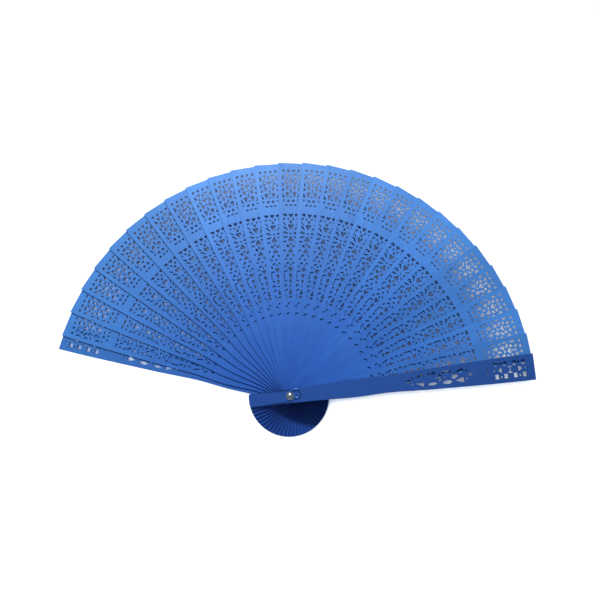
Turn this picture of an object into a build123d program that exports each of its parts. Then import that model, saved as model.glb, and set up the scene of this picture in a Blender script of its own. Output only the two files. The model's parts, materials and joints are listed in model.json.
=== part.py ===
from build123d import *
import os
from math import cos, radians, sin, tan

# Folding hand fan of thin fretted wooden sticks, opened flat.
#
# The fan lies on its back: +Z points out of its front face, the pivot stands at the origin and
# +Y is the middle line of the open fan.  Every stick is drawn along its own +X axis, from the
# pivot outwards, and is then turned to its place and lifted to its layer of the stack.

# ---- the fan as a whole -------------------------------------------------------------------
leaf_count = 26              # thin sticks between the two guards
leaf_pitch = 6.024           # degrees from one leaf to the next when the fan is open
back_guard_pitch = 3.5       # degrees from the back guard to the first leaf
front_guard_pitch = 4.7      # degrees from the last leaf to the front guard
reach = 172.0                # pivot to the outer end of a stick
tail_reach = 28.5            # pivot to the round end of a tail
tail_corner = 1.6            # rounding of the tail's two corners
end_slant = 2.0              # degrees by which the outer end is off square

# ---- thicknesses and running clearances ---------------------------------------------------
leaf_thickness = 0.7
guard_thickness = 1.5
stick_gap = 0.2              # free height between two sticks, which the linking tabs lie in
washer_play = 0.1            # free height between a guard and its washer
bore_clearance = 0.09        # round the shank, in every stick and washer

# ---- outline of a leaf: half widths at distances from the pivot ---------------------------
leaf_end_half_width = 9.7
leaf_panel_at, leaf_panel_half_width = 152.0, 9.5
leaf_band_at, leaf_band_half_width = 133.0, 9.05
leaf_shoulder_at, leaf_shoulder_half_width = 107.0, 8.0
leaf_taper_at, leaf_taper_half_width = 85.0, 7.0
leaf_neck_at, leaf_neck_half_width = 68.0, 6.2
leaf_bulge_at, leaf_bulge_half_width = 48.0, 6.45
leaf_waist_at, leaf_waist_half_width = 27.0, 4.5
leaf_pivot_half_width = 4.2
leaf_tail_half_width = 5.4

# ---- outline of a guard -------------------------------------------------------------------
guard_end_half_width = 9.2
guard_block_at, guard_block_half_width = 145.0, 8.8
guard_shoulder_at, guard_shoulder_half_width = 115.0, 7.85
guard_taper_at, guard_taper_half_width = 90.0, 6.9
guard_neck_at, guard_neck_half_width = 66.0, 5.8
guard_bulge_at, guard_bulge_half_width = 48.0, 6.25
guard_waist_at, guard_waist_half_width = 20.0, 5.25
guard_pivot_half_width = 4.85
guard_tail_half_width = 4.6

# ---- fretwork -----------------------------------------------------------------------------
end_band = 5.1               # plain wood between the outer end and the first row of holes
middle_band_at = 136.2       # centre of the plain band between the two fretted panels
middle_band = 5.8            # its width, which the linking tabs stay inside
hole_square = 1.85
outer_panel_rise = 26.9      # height the outer panel is drawn to, from the band to the first row
guard_panel_at = 154.75      # middle of the guard's outer panel

# ---- metalwork ----------------------------------------------------------------------------
shank_radius = 1.2
head_radius = 2.2
head_height = 1.1
clinch_height = 0.8
clinch_flat_radius = 1.5
clinch_rim = 0.15            # straight edge of the clinched end, next to the washer
head_rim = 0.2               # straight edge of the domed head, below its dome
washer_radius = 2.8
washer_thickness = 0.3
wire_radius = 0.3
wire_clearance = 0.3         # between the shank and the small eye of the wire link
tassel_eye_radius = 3.0      # centre line of the larger eye of the wire link
eye_squeeze = 0.2            # by which the two eyes are pressed together where the wire crosses
link_direction = 27.0        # degrees, the way the link's larger eye points

# ---- linking tabs of narrow ribbon --------------------------------------------------------
tab_thickness = 0.1
tab_width = 5.0
tab_length = 11.0
tab_inset = 0.5              # from the leaf's edge at the middle band to the end of the tab

# ---- places worked out from the sizes above -----------------------------------------------
opening = back_guard_pitch + (leaf_count - 1) * leaf_pitch + front_guard_pitch
back_guard_angle = 90 + opening / 2
first_leaf_angle = back_guard_angle - back_guard_pitch
front_guard_angle = 90 - opening / 2

back_washer_bottom = clinch_height
back_guard_bottom = back_washer_bottom + washer_thickness + washer_play
first_leaf_bottom = back_guard_bottom + guard_thickness + stick_gap
leaf_rise = leaf_thickness + stick_gap
front_guard_bottom = first_leaf_bottom + leaf_count * leaf_rise
front_washer_bottom = front_guard_bottom + guard_thickness + washer_play
front_washer_top = front_washer_bottom + washer_thickness
link_centre_height = front_washer_top + washer_play + wire_radius
head_bottom = link_centre_height + wire_radius + washer_play

bore_radius = shank_radius + bore_clearance
rivet_eye_radius = shank_radius + wire_clearance + wire_radius
eye_spacing = rivet_eye_radius + tassel_eye_radius - eye_squeeze
head_top = head_bottom + head_height
dome_height = head_height - head_rim
dome_radius = (head_radius**2 + dome_height**2) / (2 * dome_height)
first_row_at = reach - end_band - hole_square / 2

os.makedirs("parts", exist_ok=True)


def save(piece, name):
    """Label a finished piece and write it to its own file."""
    piece.part.label = name
    export_step(piece.part, f"parts/{name}.step")


def stick_plane(angle, height):
    """The plane of a stick whose axis points along the angle, with its back at the height."""
    return Plane((0, 0, height), x_dir=(cos(radians(angle)), sin(radians(angle)), 0), z_dir=(0, 0, 1))


# ---- the cutters' shapes, each centred on its own middle and lying along +X ----------------
def lens(length, width):
    """A petal with a point at each end."""
    with BuildSketch() as shape:
        with BuildLine():
            ThreePointArc((-length / 2, 0), (0, width / 2), (length / 2, 0))
            ThreePointArc((length / 2, 0), (0, -width / 2), (-length / 2, 0))
        make_face()
    return shape.sketch


def drop(length, width):
    """A teardrop with its point towards -X and its round end towards +X."""
    round_at = length / 2 - width / 2
    with BuildSketch() as shape:
        with BuildLine():
            Line((-length / 2, 0), (round_at, width / 2))
            ThreePointArc((round_at, width / 2), (length / 2, 0), (round_at, -width / 2))
            Line((round_at, -width / 2), (-length / 2, 0))
        make_face()
    return shape.sketch


def heart(length, width):
    """A heart with its point towards -X and its two lobes towards +X."""
    lobe = width / 2
    lobe_at = length / 2 - lobe / 2
    with BuildSketch() as shape:
        with BuildLine():
            Line((-length / 2, 0), (lobe_at, lobe))
            ThreePointArc((lobe_at, lobe), (length / 2, lobe / 2), (lobe_at, 0))
            ThreePointArc((lobe_at, 0), (length / 2, -lobe / 2), (lobe_at, -lobe))
            Line((lobe_at, -lobe), (-length / 2, 0))
        make_face()
    return shape.sketch


def wedge(length, width):
    """A small triangle with its point towards -X."""
    with BuildSketch() as shape:
        with BuildLine():
            Polyline((-length / 2, 0), (length / 2, width / 2), (length / 2, -width / 2), close=True)
        make_face()
    return shape.sketch


def round_hole(radius):
    """A plain round hole."""
    return Circle(radius, mode=Mode.PRIVATE)


def cut_pair(shape, along, across, turn=0):
    """Put a shape on both sides of the stick's axis, the second as the mirror of the first."""
    with Locations(Location((along, across), turn)):
        add(shape)
    with Locations(Location((along, -across), -turn)):
        add(shape)


def cut_one(shape, along, turn=0):
    """Put a shape on the stick's axis."""
    with Locations(Location((along, 0), turn)):
        add(shape)


def cut_darts(*corners):
    """Cut a straight-sided hole through its corners, and its mirror on the other side."""
    for side in (1, -1):
        with BuildSketch() as dart:
            with BuildLine():
                Polyline(*[(along, side * across) for along, across in corners], close=True)
            make_face()
        add(dart.sketch)


# ---- fretwork of a leaf -------------------------------------------------------------------
def leaf_outer_panel():
    """A row of squares, then a lattice of hearts, circles and drops between two side columns."""
    start = middle_band_at + middle_band / 2
    step = (first_row_at - start) / outer_panel_rise

    def row(height):
        return start + height * step

    with Locations(*[(first_row_at, across) for across in (-5.75, -1.9, 1.9, 5.75)]):
        Rectangle(hole_square, hole_square)

    # side columns
    cut_darts((row(24.4), 6.8), (row(21.8), 4.75), (row(19.4), 6.8))
    cut_darts((row(18.3), 6.75), (row(16.0), 5.2), (row(14.2), 6.6))
    cut_pair(lens(2.6, 1.6), row(12.4), 5.8, 143)
    cut_darts((row(9.9), 6.25), (row(6.4), 6.5), (row(6.4), 4.3))
    cut_darts((row(4.9), 6.1), (row(4.9), 4.2), (row(3.0), 5.9))

    # outer half of the lattice, about a heart
    cut_one(wedge(2.4, 2.5), row(23.2), 180)
    cut_darts((row(24.6), 4.7), (row(24.6), 1.2), (row(21.7), 2.6))
    cut_pair(Ellipse(1.15, 1.05, mode=Mode.PRIVATE), row(20.1), 3.35)
    cut_one(round_hole(0.75), row(20.7))
    cut_one(heart(3.3, 3.9), row(18.05))
    cut_pair(lens(3.5, 1.9), row(17.3), 3.7, 44)
    cut_one(round_hole(0.85), row(15.1))

    # inner half of the lattice, of large drops
    cut_pair(drop(3.9, 2.8), row(13.5), 2.8)
    cut_one(lens(3.8, 1.5), row(11.4))
    cut_pair(drop(4.6, 2.9), row(8.5), 2.6)
    cut_one(round_hole(0.85), row(7.1))
    cut_pair(round_hole(1.05), row(3.9), 1.75)
    with Locations((row(0.6), 0), (row(0.6), 3.1), (row(0.6), -3.1)):
        Rectangle(1.1, 1.9)


def leaf_inner_panel():
    """A long tapering panel: a heart between blocks, then three flowers down to slender commas."""
    top = middle_band_at - middle_band / 2

    # the heart between its blocks
    cut_one(heart(3.2, 3.1), top - 1.75)
    with Locations((top - 1.15, 4.45), (top - 1.15, -4.45)):
        Rectangle(1.9, 2.9)
    cut_pair(lens(2.2, 1.3), 129.1, 1.85, 35)
    cut_pair(lens(2.6, 1.4), 129.0, 4.95, -37)
    cut_darts((127.2, 5.75), (124.6, 5.75), (124.6, 3.2))
    cut_one(drop(2.3, 2.1), 126.8)

    # the first flower, between two hearts that point to its middle
    cut_one(heart(4.6, 4.2), 122.9)
    cut_one(round_hole(0.7), 118.1)
    cut_pair(drop(4.6, 1.9), 121.9, 3.5, 50)
    cut_pair(drop(4.2, 2.6), 118.5, 3.6, 90)
    cut_pair(drop(4.4, 1.9), 115.5, 3.4, 115)
    cut_one(heart(4.4, 4.2), 114.3, 180)
    cut_darts((112.9, 3.1), (112.3, 5.45), (107.0, 5.2), (107.2, 3.9))
    cut_one(round_hole(1.0), 110.2)

    # the second flower
    cut_pair(drop(3.2, 2.0), 108.5, 1.75, 50)
    cut_one(heart(3.4, 3.6), 105.6, 180)
    cut_darts((106.1, 3.3), (105.8, 5.2), (102.3, 4.95))
    cut_pair(lens(3.4, 1.3), 101.8, 2.1, -47)
    cut_one(round_hole(0.8), 99.0)
    cut_darts((100.0, 4.3), (99.0, 2.3), (97.5, 4.5))
    cut_pair(lens(2.9, 1.3), 96.0, 2.1, -50)
    cut_one(round_hole(0.65), 94.8)
    cut_darts((94.6, 4.6), (93.3, 2.5), (91.5, 4.7))
    cut_one(heart(3.6, 3.4), 91.2)

    # two crooks beside a drop, each a leaf run into a straight slot
    cut_pair(lens(3.0, 1.1), 90.1, 3.1, 100)
    with Locations((87.3, 4.35), (87.3, -4.35)):
        Rectangle(5.4, 1.0)
    cut_one(drop(3.6, 2.4), 86.6)

    # the third flower
    cut_one(round_hole(0.6), 79.2)
    cut_one(drop(3.6, 1.8), 82.4)
    cut_pair(drop(3.2, 1.9), 82.3, 3.1, 35)
    cut_pair(drop(2.6, 2.4), 79.3, 3.25, 90)
    cut_pair(lens(3.3, 1.5), 75.95, 2.95, -45)
    cut_one(drop(4.6, 2.0), 75.0, 180)

    # slender commas down to the point of the panel
    cut_pair(lens(5.6, 1.15), 70.6, 2.75, 20)
    cut_one(Ellipse(0.75, 1.3, mode=Mode.PRIVATE), 71.2)
    cut_pair(lens(2.7, 1.1), 66.2, 1.25, -31)
    cut_pair(lens(2.8, 1.4), 63.8, 2.55, 39)
    cut_pair(lens(3.2, 1.8), 58.6, 1.7, -45)


# ---- fretwork of a guard ------------------------------------------------------------------
def guard_outer_panel():
    """Two rows of blocks and dots on each side of a middle row of dots and hearts."""
    for outwards in (1, -1):
        for spacing in (3.4, 9.7):
            along = guard_panel_at + outwards * spacing
            with Locations((along, 4.3), (along, -4.3)):
                Rectangle(2.9, 3.2)
        cut_pair(round_hole(0.75), guard_panel_at + outwards * 6.5, 4.75)
        cut_one(heart(3.3, 3.6), guard_panel_at + outwards * 7.2, 90 + outwards * 90)
        cut_one(round_hole(0.65), guard_panel_at + outwards * 11.0)
    cut_one(round_hole(0.65), guard_panel_at)
    cut_pair(lens(4.0, 1.2), guard_panel_at, 1.9)
    cut_pair(round_hole(0.7), 138.6, 1.75)


def guard_inner_panel():
    """A lozenge of long leaves down both sides with drops and a three-lobed sprig in the middle."""
    cut_one(lens(3.9, 2.2), 126.7)
    cut_pair(round_hole(0.7), 123.9, 2.85)
    cut_pair(drop(6.2, 3.6), 118.9, 3.1)
    cut_one(drop(5.2, 4.0), 115.6, 180)
    cut_pair(lens(7.4, 2.5), 109.8, 3.6)
    cut_one(round_hole(0.55), 108.2)
    cut_one(drop(4.4, 1.7), 103.4)
    cut_pair(drop(2.4, 1.3), 105.2, 1.7, 148)
    cut_pair(lens(6.9, 2.1), 99.4, 3.6)
    cut_pair(drop(6.6, 2.4), 90.4, 2.7, 14)
    cut_pair(round_hole(0.75), 85.4, 2.05)
    cut_one(drop(3.8, 2.2), 82.2)


# ---- faces of the two kinds of stick -------------------------------------------------------
def stick_edge(stations, tail_half_width, end_half_width):
    """The edge of one side: a smooth curve from the outer end down to the tail's round end."""
    tail_end = (tail_reach**2 - tail_half_width**2) ** 0.5
    return [(reach, end_half_width), *stations, (-tail_end, tail_half_width)]


def stick_outline(stations, tail_half_width, end_half_width):
    """A stick's outline with its slanted outer end, round tail end and bore."""
    slant = end_half_width * tan(radians(end_slant))
    left = stick_edge(stations, tail_half_width, end_half_width)
    left[0] = (reach + slant, end_half_width)
    right = [(along, -across) for along, across in left]
    right[0] = (reach - slant, -end_half_width)
    with BuildSketch() as outline:
        with BuildLine():
            Spline(*left)
            ThreePointArc(left[-1], (-tail_reach, 0), right[-1])
            Spline(*right)
            Line(right[0], left[0])
        make_face()
        fillet(outline.vertices().group_by(Axis.X)[0], tail_corner)
        Circle(bore_radius, mode=Mode.SUBTRACT)
    return outline.sketch


with BuildSketch() as leaf_fret:
    leaf_outer_panel()
    leaf_inner_panel()

with BuildSketch() as guard_fret:
    guard_outer_panel()
    guard_inner_panel()

with BuildSketch() as leaf_face:
    add(stick_outline(
        [
            (leaf_panel_at, leaf_panel_half_width),
            (leaf_band_at, leaf_band_half_width),
            (leaf_shoulder_at, leaf_shoulder_half_width),
            (leaf_taper_at, leaf_taper_half_width),
            (leaf_neck_at, leaf_neck_half_width),
            (leaf_bulge_at, leaf_bulge_half_width),
            (leaf_waist_at, leaf_waist_half_width),
            (0, leaf_pivot_half_width),
        ],
        leaf_tail_half_width,
        leaf_end_half_width,
    ))
    add(leaf_fret.sketch, mode=Mode.SUBTRACT)

with BuildSketch() as guard_face:
    add(stick_outline(
        [
            (guard_block_at, guard_block_half_width),
            (guard_shoulder_at, guard_shoulder_half_width),
            (guard_taper_at, guard_taper_half_width),
            (guard_neck_at, guard_neck_half_width),
            (guard_bulge_at, guard_bulge_half_width),
            (guard_waist_at, guard_waist_half_width),
            (0, guard_pivot_half_width),
        ],
        guard_tail_half_width,
        guard_end_half_width,
    ))
    add(guard_fret.sketch, mode=Mode.SUBTRACT)

# ---- the two guards -----------------------------------------------------------------------
with BuildPart() as back_guard:
    with BuildSketch(stick_plane(back_guard_angle, back_guard_bottom)):
        add(guard_face.sketch)
    extrude(amount=guard_thickness)
save(back_guard, "back_guard")

with BuildPart() as front_guard:
    with BuildSketch(stick_plane(front_guard_angle, front_guard_bottom)):
        add(guard_face.sketch)
    extrude(amount=guard_thickness)
save(front_guard, "front_guard")

# ---- the leaves ---------------------------------------------------------------------------
for number in range(1, leaf_count + 1):
    angle = first_leaf_angle - (number - 1) * leaf_pitch
    height = first_leaf_bottom + (number - 1) * leaf_rise
    with BuildPart() as leaf:
        with BuildSketch(stick_plane(angle, height)):
            add(leaf_face.sketch)
        extrude(amount=leaf_thickness)
    save(leaf, f"leaf_{number:02d}")

# ---- the ribbon tabs, each glued under the stick that follows it ---------------------------
for number in range(1, leaf_count + 2):
    if number <= leaf_count:
        angle = first_leaf_angle - (number - 1) * leaf_pitch
        height = first_leaf_bottom + (number - 1) * leaf_rise
    else:
        angle = front_guard_angle
        height = front_guard_bottom
    across = leaf_band_half_width - tab_inset - tab_length / 2
    with BuildPart() as tab:
        with BuildSketch(stick_plane(angle, height - tab_thickness)):
            with Locations((middle_band_at, across)):
                Rectangle(tab_width, tab_length)
        extrude(amount=tab_thickness)
    save(tab, f"ribbon_tab_{number:02d}")

# ---- the pivot ----------------------------------------------------------------------------
with BuildPart() as pivot_rivet:
    with BuildSketch(Plane.XZ):
        with BuildLine():
            Line((0, 0), (clinch_flat_radius, 0))
            RadiusArc((clinch_flat_radius, 0), (head_radius, clinch_height - clinch_rim), clinch_height)
            Line((head_radius, clinch_height - clinch_rim), (head_radius, clinch_height))
            Line((head_radius, clinch_height), (0, clinch_height))
            Line((0, clinch_height), (0, 0))
        make_face()
    revolve(axis=Axis.Z)
    with BuildSketch(Plane.XY.offset(clinch_height)):
        Circle(shank_radius)
    extrude(amount=head_bottom - clinch_height)
    with BuildSketch(Plane.XZ):
        with BuildLine():
            Line((0, head_bottom), (head_radius, head_bottom))
            Line((head_radius, head_bottom), (head_radius, head_bottom + head_rim))
            RadiusArc((head_radius, head_bottom + head_rim), (0, head_top), -dome_radius)
            Line((0, head_top), (0, head_bottom))
        make_face()
    revolve(axis=Axis.Z)
save(pivot_rivet, "pivot_rivet")


def washer(height):
    """A flat washer round the shank, with its lower face at the height."""
    with BuildPart() as ring:
        with BuildSketch(Plane.XY.offset(height)):
            Circle(washer_radius)
            Circle(bore_radius, mode=Mode.SUBTRACT)
        extrude(amount=washer_thickness)
        chamfer(ring.edges().filter_by(GeomType.CIRCLE).group_by(SortBy.RADIUS)[-1], 0.08)
    return ring


save(washer(back_washer_bottom), "back_washer")
save(washer(front_washer_bottom), "front_washer")

# ---- the wire link: a small eye round the shank and a larger eye for a tassel --------------
with BuildPart() as tassel_link:
    link_plane = stick_plane(link_direction, link_centre_height)
    with Locations(link_plane.location):
        Torus(rivet_eye_radius, wire_radius)
    with Locations(link_plane.location * Location((eye_spacing, 0, 0))):
        Torus(tassel_eye_radius, wire_radius)
save(tassel_link, "tassel_link")

print("opening angle", round(opening, 3), "closed stack", round(head_top, 2))
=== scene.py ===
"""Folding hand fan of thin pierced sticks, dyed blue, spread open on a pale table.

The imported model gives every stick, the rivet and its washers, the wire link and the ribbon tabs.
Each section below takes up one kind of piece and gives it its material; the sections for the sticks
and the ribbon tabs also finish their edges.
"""
import json
import math

import bpy
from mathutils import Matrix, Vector

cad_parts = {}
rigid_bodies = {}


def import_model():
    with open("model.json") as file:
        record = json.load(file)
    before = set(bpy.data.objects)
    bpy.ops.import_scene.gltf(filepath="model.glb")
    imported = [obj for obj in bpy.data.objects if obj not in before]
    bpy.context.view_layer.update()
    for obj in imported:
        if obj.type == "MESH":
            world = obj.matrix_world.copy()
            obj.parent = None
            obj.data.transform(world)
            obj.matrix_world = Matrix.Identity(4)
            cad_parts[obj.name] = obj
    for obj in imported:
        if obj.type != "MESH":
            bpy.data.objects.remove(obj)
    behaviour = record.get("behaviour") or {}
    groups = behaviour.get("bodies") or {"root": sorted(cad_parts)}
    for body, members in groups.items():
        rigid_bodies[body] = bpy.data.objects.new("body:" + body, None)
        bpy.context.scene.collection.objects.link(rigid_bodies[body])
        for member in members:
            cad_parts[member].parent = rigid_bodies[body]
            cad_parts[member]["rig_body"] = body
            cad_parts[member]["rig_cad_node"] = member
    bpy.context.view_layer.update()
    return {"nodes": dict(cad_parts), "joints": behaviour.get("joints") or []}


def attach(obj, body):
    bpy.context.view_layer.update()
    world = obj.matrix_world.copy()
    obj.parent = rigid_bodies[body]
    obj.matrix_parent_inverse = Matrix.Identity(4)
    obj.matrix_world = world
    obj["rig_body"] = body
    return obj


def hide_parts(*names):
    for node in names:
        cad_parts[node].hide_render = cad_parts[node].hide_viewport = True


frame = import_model()
turns = {joint["child"]: joint["range_deg"][1] for joint in frame["joints"] if "range_deg" in joint}
opening = turns["front_guard"]


# ---- The leaves ---------------------------------------------------------------------------------
# Twenty-six thin sticks of pale close-grained wood, die-cut with their fretwork and dyed through in
# a blue bath, then threaded on the rivet, each on its left neighbour.  The cutter leaves the rims
# of the holes a little rounded, and the cut walls take up more dye than the faces and are painted
# darker still as shade inside the holes.  Painted shade darkens each stick from its tip toward its
# neck and tail, and painted shadow lines run along the edges of the tails.
LEAF_EASE = 0.00006
DOUBLES_APART = 0.000002
LEVEL = 0.999                # upward part of the normal on a stick's front and back faces
LEAF_TIP_BLUE = (0.052, 0.198, 0.53)
# Painted shade: the neck and tail colours are darker than the tip's.
LEAF_NECK_SHADED_BLUE = (0.018, 0.098, 0.42)
LEAF_TAIL_SHADED_BLUE = (0.008, 0.062, 0.31)
LEAF_CUT_AND_SHADE_BLUE = (0.003, 0.028, 0.16)
LEAF_RIM_BLUE = (0.10, 0.30, 0.66)
PIVOT_HALF_WIDTH = 0.0042
TAIL_FLARE = 0.043           # growth of a tail's half width for each metre away from the pivot


def select_only(piece):
    """Make one object the selected and active one."""
    bpy.ops.object.select_all(action="DESELECT")
    piece.select_set(True)
    bpy.context.view_layer.objects.active = piece


def stick_angle(body):
    """The way a stick points in the open fan, in radians from +X."""
    return math.radians(90 + opening / 2 - turns.get(body, 0))


def finished_stick(node, name, ease):
    """A clean copy of a stick with its edges eased and its faces level, standing for the original."""
    source = frame["nodes"][node]
    stick = source.copy()
    stick.data = source.data.copy()
    stick.name = name
    stick.parent = None
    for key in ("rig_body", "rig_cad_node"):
        del stick[key]
    bpy.context.scene.collection.objects.link(stick)
    select_only(stick)
    bpy.ops.object.mode_set(mode="EDIT")
    bpy.ops.mesh.select_all(action="SELECT")
    bpy.ops.mesh.remove_doubles(threshold=DOUBLES_APART)
    bpy.ops.mesh.dissolve_limited(angle_limit=math.radians(0.5))
    bpy.ops.object.mode_set(mode="OBJECT")
    eased = stick.modifiers.new("eased edges", "BEVEL")
    eased.width = ease
    eased.segments = 1
    eased.limit_method = "ANGLE"
    eased.angle_limit = math.radians(40)
    bpy.ops.object.modifier_apply(modifier=eased.name)
    bpy.ops.object.shade_smooth_by_angle(angle=math.radians(30))
    for face in stick.data.polygons:
        if abs(face.normal.z) > LEVEL:
            face.use_smooth = False
    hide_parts(node)
    return stick


def lay_grain(piece, angle, number):
    """Store each point's place along and across its stick, so that the grain follows the stick."""
    places = piece.data.attributes.new("grain", "FLOAT_VECTOR", "POINT")
    along = Vector((math.cos(angle), math.sin(angle), 0))
    across = Vector((-along.y, along.x, 0))
    for point, place in zip(piece.data.vertices, places.data):
        place.vector = (point.co.dot(along), point.co.dot(across), point.co.z + number * 0.5)


def shader(name):
    """A new material with nothing in it but its surface shader."""
    material = bpy.data.materials.new(name)
    material.use_nodes = True
    nodes, links = material.node_tree.nodes, material.node_tree.links
    return material, nodes, links, nodes["Principled BSDF"]


def stretched_noise(nodes, links, source, stretch, detail, roughness=0.5):
    """Noise drawn out along the stick: how often it changes, per metre, in each direction."""
    scale = nodes.new("ShaderNodeVectorMath")
    scale.operation = "MULTIPLY"
    scale.inputs[1].default_value = stretch
    links.new(source, scale.inputs[0])
    noise = nodes.new("ShaderNodeTexNoise")
    noise.inputs["Scale"].default_value = 1
    noise.inputs["Detail"].default_value = detail
    noise.inputs["Roughness"].default_value = roughness
    links.new(scale.outputs[0], noise.inputs["Vector"])
    return noise.outputs["Fac"]


def spread_out(nodes, links, value, low, high, to_low=0, to_high=1):
    """Stretch a value's range from low..high to to_low..to_high, held at both ends."""
    spread = nodes.new("ShaderNodeMapRange")
    for socket, number in zip(("From Min", "From Max", "To Min", "To Max"), (low, high, to_low, to_high)):
        spread.inputs[socket].default_value = number
    links.new(value, spread.inputs["Value"])
    return spread.outputs["Result"]


def blend_colours(nodes, links, share, first, second):
    """Mix two colours, each a constant or a socket, by a share from 0 to 1."""
    mix = nodes.new("ShaderNodeMix")
    mix.data_type = "RGBA"
    links.new(share, mix.inputs["Factor"])
    for socket, colour in (("A", first), ("B", second)):
        target = [item for item in mix.inputs if item.name == socket and item.type == "RGBA"][0]
        if isinstance(colour, tuple):
            target.default_value = (*colour, 1)
        else:
            links.new(colour, target)
    return [item for item in mix.outputs if item.type == "RGBA"][0]


def dyed_wood_with_painted_shade(name, tip_blue, neck_shaded_blue, tail_shaded_blue, cut_and_shade_blue, rim_blue, roughness):
    """Close-grained wood under a blue dye: cloudy along each stick, finely streaked, darker where cut;
    painted shade darkens the neck and tail, and painted shadow lines run along the tail edges.
    """
    material, nodes, links, surface = shader(name)
    grain = nodes.new("ShaderNodeAttribute")
    grain.attribute_name = "grain"
    place = grain.outputs["Vector"]
    each_stick = stretched_noise(nodes, links, place, (2, 2, 2), 0)
    clouds = stretched_noise(nodes, links, place, (25, 160, 160), 3)
    streaks = stretched_noise(nodes, links, place, (90, 2600, 2600), 4, 0.6)
    fibres = stretched_noise(nodes, links, place, (600, 9000, 9000), 2, 0.6)

    axes = nodes.new("ShaderNodeSeparateXYZ")
    links.new(place, axes.inputs[0])
    # Painted shade: the face darkens from the tip to the neck and on to the tail, with each step clouded
    # along the stick.
    cloudy_reach = nodes.new("ShaderNodeMath")
    cloudy_reach.operation = "MULTIPLY_ADD"
    cloudy_reach.inputs[1].default_value = 0.05
    links.new(clouds, cloudy_reach.inputs[0])
    links.new(axes.outputs["X"], cloudy_reach.inputs[2])
    inner_share = spread_out(nodes, links, cloudy_reach.outputs[0], 0.01, 0.055)
    inner_face = blend_colours(nodes, links, inner_share, tail_shaded_blue, neck_shaded_blue)
    outer_share = spread_out(nodes, links, cloudy_reach.outputs[0], 0.06, 0.19)
    face = blend_colours(nodes, links, outer_share, inner_face, tip_blue)
    tone = nodes.new("ShaderNodeMath")
    tone.operation = "MULTIPLY"
    links.new(spread_out(nodes, links, streaks, 0.25, 0.75, 0.78, 1.18), tone.inputs[0])
    links.new(spread_out(nodes, links, each_stick, 0.3, 0.7, 0.90, 1.10), tone.inputs[1])
    toned = nodes.new("ShaderNodeVectorMath")
    toned.operation = "SCALE"
    links.new(face, toned.inputs[0])
    links.new(tone.outputs[0], toned.inputs["Scale"])

    # Painted shadow lines: a dark band along both edges of each tail, standing in for the shadow one tail
    # casts on the next.
    tail_edge = nodes.new("ShaderNodeMath")
    tail_edge.operation = "MULTIPLY_ADD"
    tail_edge.inputs[1].default_value = -TAIL_FLARE
    tail_edge.inputs[2].default_value = PIVOT_HALF_WIDTH
    links.new(axes.outputs["X"], tail_edge.inputs[0])
    from_axis = nodes.new("ShaderNodeMath")
    from_axis.operation = "ABSOLUTE"
    links.new(axes.outputs["Y"], from_axis.inputs[0])
    inside_edge = nodes.new("ShaderNodeMath")
    inside_edge.operation = "SUBTRACT"
    links.new(tail_edge.outputs[0], inside_edge.inputs[0])
    links.new(from_axis.outputs[0], inside_edge.inputs[1])
    near_edge = spread_out(nodes, links, inside_edge.outputs[0], 0.0013, 0.0006)
    in_tail = spread_out(nodes, links, axes.outputs["X"], 0.004, -0.004)
    painted_tail_shadow = nodes.new("ShaderNodeMath")
    painted_tail_shadow.operation = "MULTIPLY"
    links.new(near_edge, painted_tail_shadow.inputs[0])
    links.new(in_tail, painted_tail_shadow.inputs[1])
    with_tail_shadow = blend_colours(nodes, links, painted_tail_shadow.outputs[0], toned.outputs[0], cut_and_shade_blue)

    side = nodes.new("ShaderNodeTexCoord")
    upright = nodes.new("ShaderNodeSeparateXYZ")
    links.new(side.outputs["Normal"], upright.inputs[0])
    steepness = nodes.new("ShaderNodeMath")
    steepness.operation = "ABSOLUTE"
    links.new(upright.outputs["Z"], steepness.inputs[0])
    on_rim = spread_out(nodes, links, steepness.outputs[0], 0.95, 0.85)
    with_rim = blend_colours(nodes, links, on_rim, with_tail_shadow, rim_blue)
    # The cut walls darken partly for the dye they take up and partly as painted shade inside the holes.
    on_cut = spread_out(nodes, links, steepness.outputs[0], 0.5, 0.3)
    colour = blend_colours(nodes, links, on_cut, with_rim, cut_and_shade_blue)
    links.new(colour, surface.inputs["Base Color"])

    links.new(spread_out(nodes, links, streaks, 0.3, 0.7, roughness + 0.07, roughness - 0.07),
              surface.inputs["Roughness"])
    surface.inputs["Specular IOR Level"].default_value = 0.25
    height = nodes.new("ShaderNodeMath")
    height.operation = "ADD"
    links.new(streaks, height.inputs[0])
    links.new(fibres, height.inputs[1])
    bump = nodes.new("ShaderNodeBump")
    bump.inputs["Strength"].default_value = 0.35
    bump.inputs["Distance"].default_value = 0.00004
    links.new(height.outputs[0], bump.inputs["Height"])
    links.new(bump.outputs["Normal"], surface.inputs["Normal"])
    return material


leaf_wood = dyed_wood_with_painted_shade("leaf wood with painted shade", LEAF_TIP_BLUE, LEAF_NECK_SHADED_BLUE, LEAF_TAIL_SHADED_BLUE, LEAF_CUT_AND_SHADE_BLUE,
                      LEAF_RIM_BLUE, 0.5)
leaves = sorted(name for name in frame["nodes"] if name.startswith("leaf_"))
for number, node in enumerate(leaves, start=1):
    leaf = finished_stick(node, f"pierced_{node}", LEAF_EASE)
    lay_grain(leaf, stick_angle(node), number)
    leaf.data.materials.clear()
    leaf.data.materials.append(leaf_wood)
    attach(leaf, node)


# ---- The guards ---------------------------------------------------------------------------------
# The two outer sticks, of the same wood at twice the thickness, pierced with a bolder pattern.
# They take the knocks and the hand's grip, so their edges are rounder.  Both are painted darker
# than the leaves as shade, the front guard darkest, and each darker toward its grip and tail.
GUARD_EASE = 0.00012
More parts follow.
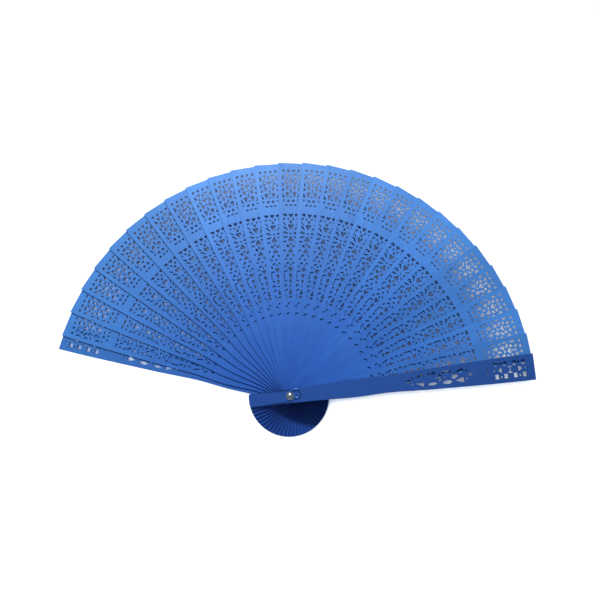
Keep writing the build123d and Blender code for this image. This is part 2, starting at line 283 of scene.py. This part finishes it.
# Painted shade: the front guard's colours are all darker than the back guard's.
FRONT_SHADED_TIP_BLUE = (0.020, 0.081, 0.31)
FRONT_SHADED_GRIP_BLUE = (0.015, 0.072, 0.30)
FRONT_SHADED_TAIL_BLUE = (0.014, 0.066, 0.28)
FRONT_SHADED_RIM_BLUE = (0.05, 0.16, 0.44)
BACK_TIP_BLUE = (0.040, 0.155, 0.45)
BACK_GRIP_SHADED_BLUE = (0.022, 0.100, 0.38)
BACK_TAIL_SHADED_BLUE = (0.010, 0.058, 0.26)
BACK_RIM_BLUE = (0.08, 0.26, 0.60)
GUARD_CUT_AND_SHADE_BLUE = (0.003, 0.025, 0.14)

front_wood = dyed_wood_with_painted_shade("front guard wood with painted shade", FRONT_SHADED_TIP_BLUE, FRONT_SHADED_GRIP_BLUE, FRONT_SHADED_TAIL_BLUE,
                       GUARD_CUT_AND_SHADE_BLUE, FRONT_SHADED_RIM_BLUE, 0.46)
back_wood = dyed_wood_with_painted_shade("back guard wood with painted shade", BACK_TIP_BLUE, BACK_GRIP_SHADED_BLUE, BACK_TAIL_SHADED_BLUE,
                      GUARD_CUT_AND_SHADE_BLUE, BACK_RIM_BLUE, 0.46)
for number, (node, wood) in enumerate((("back_guard", back_wood), ("front_guard", front_wood)),
                                      start=len(leaves) + 1):
    guard = finished_stick(node, f"pierced_{node}", GUARD_EASE)
    lay_grain(guard, stick_angle(node), number)
    guard.data.materials.clear()
    guard.data.materials.append(wood)
    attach(guard, node)


# ---- The ribbon tabs ----------------------------------------------------------------------------
# Short cuts of narrow satin ribbon, one behind each joint between two sticks.  Each is glued under
# the right-hand stick and reaches over its left neighbour, out of sight from the front.
RIBBON_EASE = 0.00002
RIBBON_BLUE = (0.04, 0.16, 0.52)
RIBBON_SHADE = (0.02, 0.08, 0.34)
WARP_PER_METRE, WEFT_PER_METRE = 4200, 2600


def satin(name, colour, shade):
    """Woven satin: long warp floats along the ribbon, crossed by a fine weft."""
    material, nodes, links, surface = shader(name)
    grain = nodes.new("ShaderNodeAttribute")
    grain.attribute_name = "grain"
    axes = nodes.new("ShaderNodeSeparateXYZ")
    links.new(grain.outputs["Vector"], axes.inputs[0])
    threads = []
    for axis, per_metre in (("X", WARP_PER_METRE), ("Y", WEFT_PER_METRE)):
        wave = nodes.new("ShaderNodeMath")
        wave.operation = "MULTIPLY"
        wave.inputs[1].default_value = per_metre * 2 * math.pi
        links.new(axes.outputs[axis], wave.inputs[0])
        crest = nodes.new("ShaderNodeMath")
        crest.operation = "SINE"
        links.new(wave.outputs[0], crest.inputs[0])
        threads.append(crest.outputs[0])
    weave = nodes.new("ShaderNodeMath")
    weave.operation = "MULTIPLY_ADD"
    weave.inputs[1].default_value = 0.4
    links.new(threads[1], weave.inputs[0])
    links.new(threads[0], weave.inputs[2])
    share = spread_out(nodes, links, weave.outputs[0], -1.4, 1.4)
    links.new(blend_colours(nodes, links, share, shade, colour), surface.inputs["Base Color"])
    surface.inputs["Roughness"].default_value = 0.38
    surface.inputs["Sheen Weight"].default_value = 0.3
    bump = nodes.new("ShaderNodeBump")
    bump.inputs["Strength"].default_value = 0.4
    bump.inputs["Distance"].default_value = 0.00003
    links.new(share, bump.inputs["Height"])
    links.new(bump.outputs["Normal"], surface.inputs["Normal"])
    return material


ribbon_satin = satin("blue satin ribbon", RIBBON_BLUE, RIBBON_SHADE)
sticks = leaves + ["front_guard"]
for number, body in enumerate(sticks, start=1):
    tab = finished_stick(f"ribbon_tab_{number:02d}", f"satin_tab_{number:02d}", RIBBON_EASE)
    lay_grain(tab, stick_angle(body), number)
    tab.data.materials.clear()
    tab.data.materials.append(ribbon_satin)
    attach(tab, body)


# ---- The pivot and the wire link ----------------------------------------------------------------
# A nickel-plated rivet with a domed head, clinched at the back over a plain washer, with a second
# washer under the head.  A link bent from thin wire lies between them, its larger eye free; its blue
# is a painted reflection of the blue sticks around it.
NICKEL = (0.66, 0.67, 0.68)
NICKEL_DULL = (0.42, 0.43, 0.45)
# Painted reflection: the blue of the sticks, put into the bare wire's colour.
REFLECTED_BLUE = (0.10, 0.24, 0.62)
REFLECTED_BLUE_DULL = (0.06, 0.16, 0.46)


def plated(name, bright, dull, roughness):
    """Bright plating with faint clouding and fine handling scratches."""
    material, nodes, links, surface = shader(name)
    place = nodes.new("ShaderNodeTexCoord")
    clouds = stretched_noise(nodes, links, place.outputs["Object"], (600, 600, 600), 3)
    scratches = stretched_noise(nodes, links, place.outputs["Object"], (1200, 9000, 3000), 2, 0.7)
    share = spread_out(nodes, links, clouds, 0.35, 0.7)
    links.new(blend_colours(nodes, links, share, bright, dull), surface.inputs["Base Color"])
    surface.inputs["Metallic"].default_value = 1
    links.new(spread_out(nodes, links, scratches, 0.3, 0.7, roughness * 0.8, roughness * 1.4),
              surface.inputs["Roughness"])
    bump = nodes.new("ShaderNodeBump")
    bump.inputs["Strength"].default_value = 0.15
    bump.inputs["Distance"].default_value = 0.00001
    links.new(scratches, bump.inputs["Height"])
    links.new(bump.outputs["Normal"], surface.inputs["Normal"])
    return material


nickel = plated("nickel plate", NICKEL, NICKEL_DULL, 0.2)
reflecting_wire = plated("wire with painted blue reflection", REFLECTED_BLUE, REFLECTED_BLUE_DULL, 0.35)
for node, finish in (("pivot_rivet", nickel), ("front_washer", nickel), ("back_washer", nickel),
                     ("tassel_link", reflecting_wire)):
    metal = frame["nodes"][node]
    metal.data.materials.clear()
    metal.data.materials.append(finish)


# ---- The table, the light and the camera --------------------------------------------------------
# A plain white table top under a soft light of its own, which turns grey in the close shade under
# the fan, and over the fan a small soft box beyond its outer edge, which rakes across the layered
# sticks, with a wide one behind it and a cool sky.
TABLE_WHITE = (0.93, 0.93, 0.93)
TABLE_SHADE = (0.09, 0.17, 0.38)
TABLE_SIZE = 6
SHADE_REACH = 0.08
SKY_BLUE = (0.55, 0.74, 1)
SKY_STRENGTH = 0.30
FAN_MIDDLE = (-0.02, 0.08, 0)

fan_pieces = bpy.data.collections.new("lit_fan")
for piece in bpy.context.scene.objects:
    if piece.type == "MESH":
        fan_pieces.objects.link(piece)

bpy.ops.object.select_all(action="DESELECT")
bpy.ops.mesh.primitive_plane_add(size=TABLE_SIZE, location=(0, 0, 0))
table = bpy.context.active_object
table.name = "table_top"
table_paint, table_nodes, table_links, table_surface = shader("white table")
shade = table_nodes.new("ShaderNodeAmbientOcclusion")
shade.inputs["Distance"].default_value = SHADE_REACH
openness = spread_out(table_nodes, table_links, shade.outputs["AO"], 0.25, 0.60)
table_links.new(blend_colours(table_nodes, table_links, openness, TABLE_SHADE, TABLE_WHITE),
                table_surface.inputs["Base Color"])
table_surface.inputs["Roughness"].default_value = 0.8
table.data.materials.append(table_paint)
table_top = bpy.data.collections.new("lit_table")
table_top.objects.link(table)

world = bpy.data.worlds.new("pale surround")
bpy.context.scene.world = world
world.use_nodes = True
world.node_tree.nodes["Background"].inputs["Color"].default_value = (*SKY_BLUE, 1)
world.node_tree.nodes["Background"].inputs["Strength"].default_value = SKY_STRENGTH


def soft_light(name, place, aim, size, power, lit):
    """A square soft box at a place, turned to face a point and lighting one group of things."""
    light = bpy.data.lights.new(name, "AREA")
    light.shape = "SQUARE"
    light.size = size
    light.energy = power
    lamp = bpy.data.objects.new(name, light)
    lamp.location = place
    lamp.rotation_mode = "QUATERNION"
    lamp.rotation_quaternion = (Vector(aim) - Vector(place)).to_track_quat("-Z", "Y")
    bpy.context.scene.collection.objects.link(lamp)
    lamp.light_linking.receiver_collection = lit


soft_light("key_light", (-0.08, 0.47, 0.48), FAN_MIDDLE, 0.08, 4.5, fan_pieces)
soft_light("far_light", (-0.20, 0.46, 0.60), (-0.03, 0.12, 0), 0.30, 0.8, fan_pieces)
soft_light("table_light", (-0.06, 0.01, 0.90), FAN_MIDDLE, 0.30, 11.0, table_top)

camera_data = bpy.data.cameras.new("camera")
camera_data.sensor_width = 36
camera_data.lens = 38.545
camera = bpy.data.objects.new("camera", camera_data)
camera.location = (-0.00111, 0.00397, 0.47583)
camera.rotation_euler = (math.radians(7.985), math.radians(-0.987), math.radians(3.767))
bpy.context.scene.collection.objects.link(camera)
bpy.context.scene.camera = camera
bpy.context.scene.view_settings.view_transform = "Standard"
